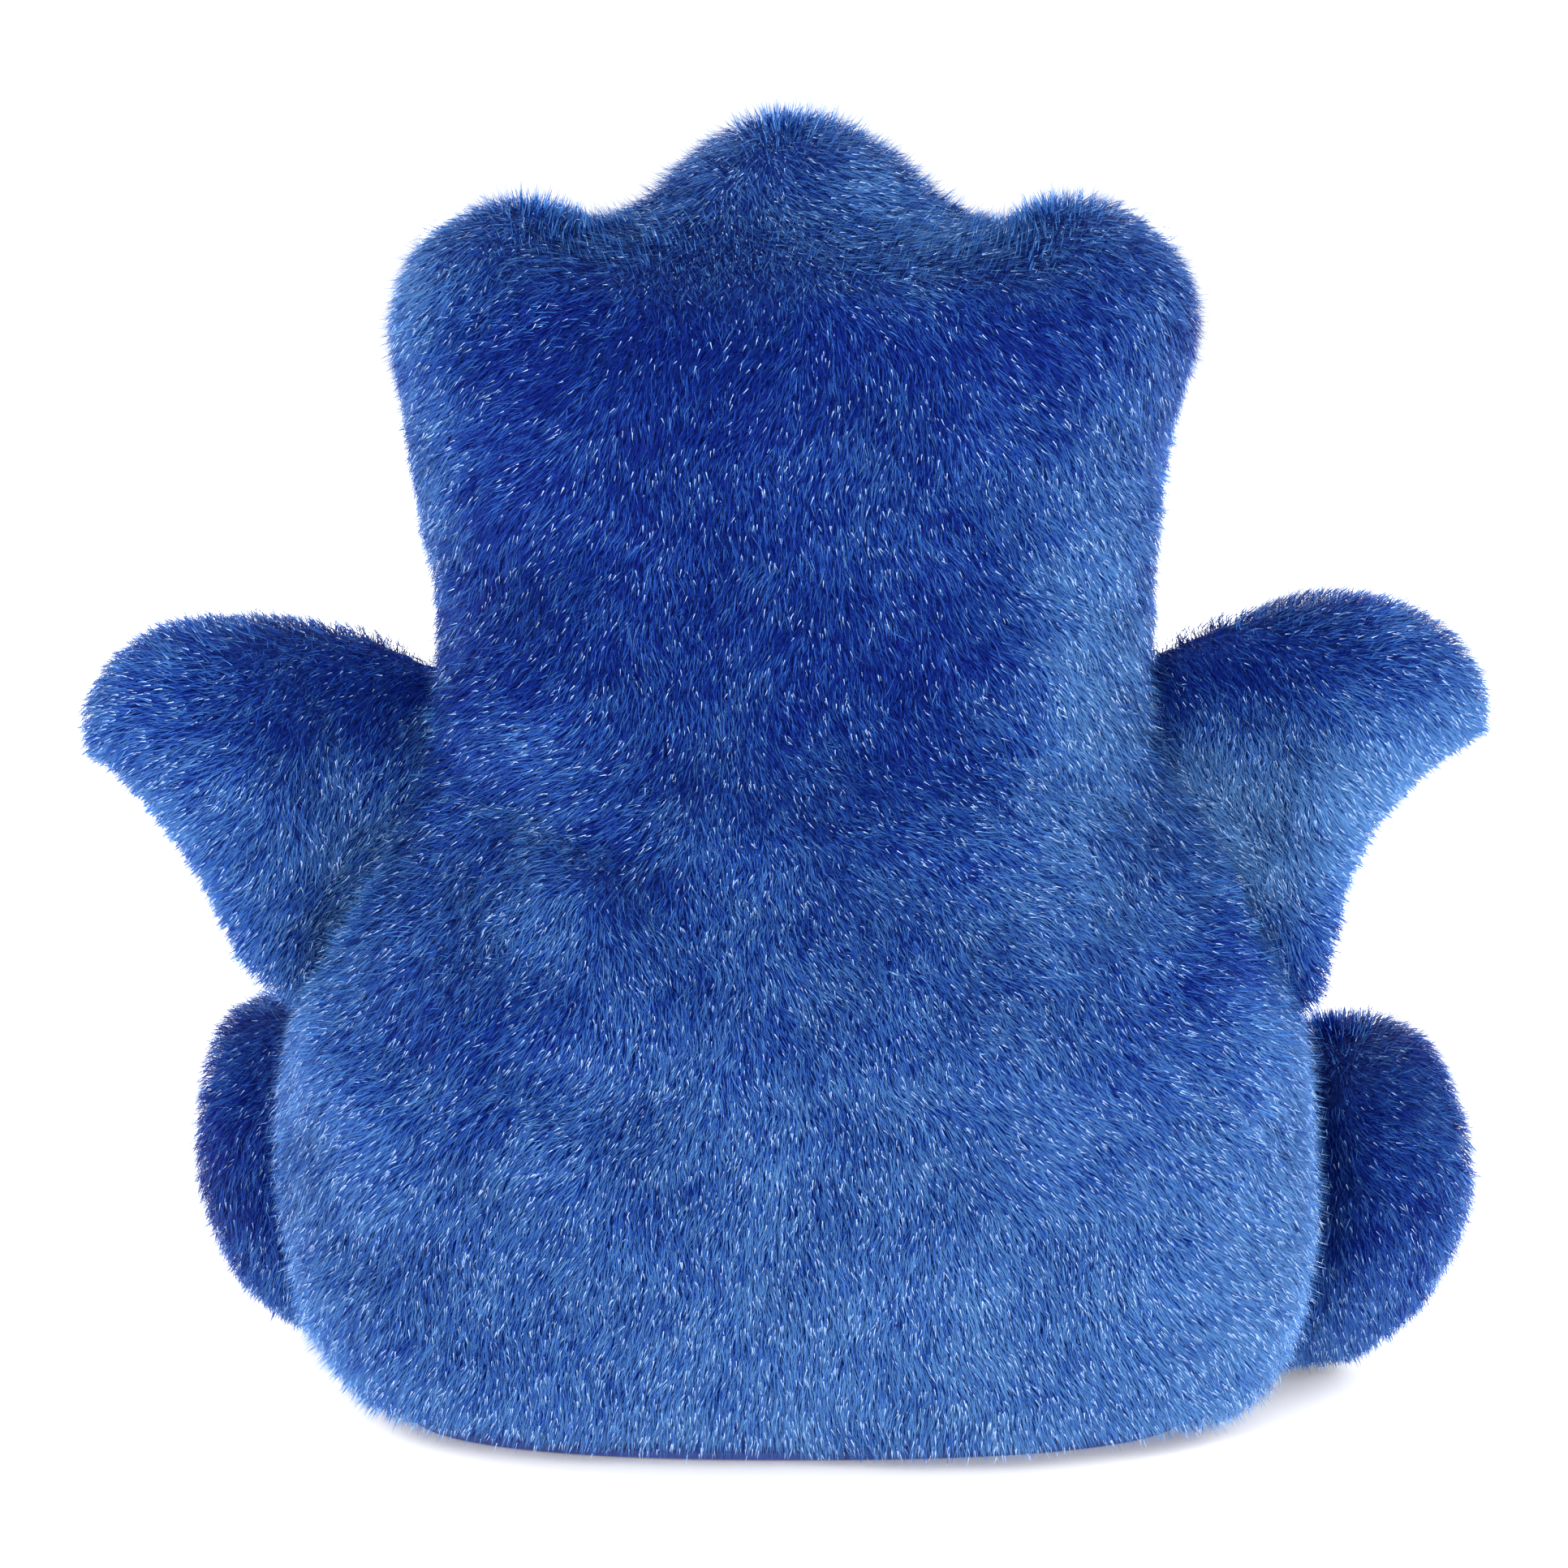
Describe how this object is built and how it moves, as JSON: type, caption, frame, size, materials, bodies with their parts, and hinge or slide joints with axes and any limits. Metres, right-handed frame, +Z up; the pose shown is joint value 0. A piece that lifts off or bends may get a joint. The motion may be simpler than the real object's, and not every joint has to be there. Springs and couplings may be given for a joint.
{
  "type": "moving mouth hand puppet",
  "caption": "Plump plush hand puppet that sits on a table, with a sleeve for the hand, a mouth worked by fingers and thumb, and stuffed arms and feet.",
  "frame": {"origin": "centre of the object's box, on the surface that the puppet sits on", "axes": "+Z up; -Y is the way the face looks; +X is the puppet's left"},
  "size_m": [0.2657, 0.1443, 0.2459],
  "materials": {
    "blue_fur": "matte",
    "white_stuffing": "matte",
    "blue_lining": "matte",
    "dark_mouth_felt": "matte",
    "red_felt": "matte",
    "white_felt": "matte",
    "white_washer": "matte",
    "black_eye": "gloss",
    "grey_board": "matte"
  },
  "bodies": {
    "body": {"body_back_skin": "blue_fur", "body_front_skin": "blue_fur", "body_back_stuffing": "white_stuffing", "body_front_stuffing": "white_stuffing", "sleeve_lining_back": "blue_lining", "sleeve_lining_front": "blue_lining", "hem_band": "blue_fur", "neck_skin": "blue_fur", "throat_skin": "blue_fur"},
    "head": {"head_back_skin": "blue_fur", "head_side_left_skin": "blue_fur", "head_side_right_skin": "blue_fur", "snout_skin": "blue_fur", "dome_skin": "blue_fur", "crown_stuffing": "white_stuffing", "head_back_padding": "white_stuffing", "head_lining": "blue_lining", "finger_pocket": "blue_lining", "upper_mouth_board": "grey_board", "upper_mouth_lining": "dark_mouth_felt", "mouth_hinge_tape": "blue_lining", "cheek_left_gusset": "blue_fur", "cheek_right_gusset": "blue_fur", "eye_left_felt": "white_felt", "eye_left_bead": "black_eye", "eye_left_washer": "white_washer", "eye_right_felt": "white_felt", "eye_right_bead": "black_eye", "eye_right_washer": "white_washer"},
    "jaw": {"chin_skin": "blue_fur", "lower_mouth_board": "grey_board", "lower_mouth_lining": "dark_mouth_felt", "thumb_pocket": "blue_lining", "tongue": "red_felt"},
    "arm_left": {"arm_left_back": "blue_fur", "arm_left_front": "blue_fur", "arm_left_filling": "white_stuffing"},
    "leg_left": {"leg_left_upper": "blue_fur", "leg_left_lower": "blue_fur", "leg_left_filling": "white_stuffing", "foot_left_sole": "blue_fur"},
    "arm_right": {"arm_right_back": "blue_fur", "arm_right_front": "blue_fur", "arm_right_filling": "white_stuffing"},
    "leg_right": {"leg_right_upper": "blue_fur", "leg_right_lower": "blue_fur", "leg_right_filling": "white_stuffing", "foot_right_sole": "blue_fur"}
  },
  "joints": [
    {"name": "head_nod", "type": "hinge", "parent": "body", "child": "head", "pos_m": [0, 0.015, 0.152], "axis": [1, 0, 0], "range_deg": [-18, 14], "stiffness_Nm_per_rad": 0.35, "deforming": ["neck_skin", "throat_skin", "cheek_left_gusset", "cheek_right_gusset"]},
    {"name": "jaw_open", "type": "hinge", "parent": "head", "child": "jaw", "pos_m": [0, 0.025, 0.177], "axis": [1, 0, 0], "range_deg": [-4, 28], "stiffness_Nm_per_rad": 0.12, "deforming": ["throat_skin", "cheek_left_gusset", "cheek_right_gusset"]},
    {"name": "arm_left_swing", "type": "hinge", "parent": "body", "child": "arm_left", "pos_m": [0.0805, 0.015, 0.1165], "axis": [0.3584, 0, -0.9336], "range_deg": [-30, 35], "stiffness_Nm_per_rad": 0.03},
    {"name": "arm_right_swing", "type": "hinge", "parent": "body", "child": "arm_right", "pos_m": [-0.08, 0.015, 0.118], "axis": [0.4067, 0, 0.9135], "range_deg": [-30, 35], "stiffness_Nm_per_rad": 0.03},
    {"name": "leg_left_swing", "type": "hinge", "parent": "body", "child": "leg_left", "pos_m": [0.07074, -0.0287, 0.026], "axis": [-0.788, -0.6157, 0], "range_deg": [-22, 14], "stiffness_Nm_per_rad": 0.05},
    {"name": "leg_right_swing", "type": "hinge", "parent": "body", "child": "leg_right", "pos_m": [-0.0903, -0.01189, 0.026], "axis": [-0.5592, 0.829, 0], "range_deg": [-22, 14], "stiffness_Nm_per_rad": 0.05}
  ]
}
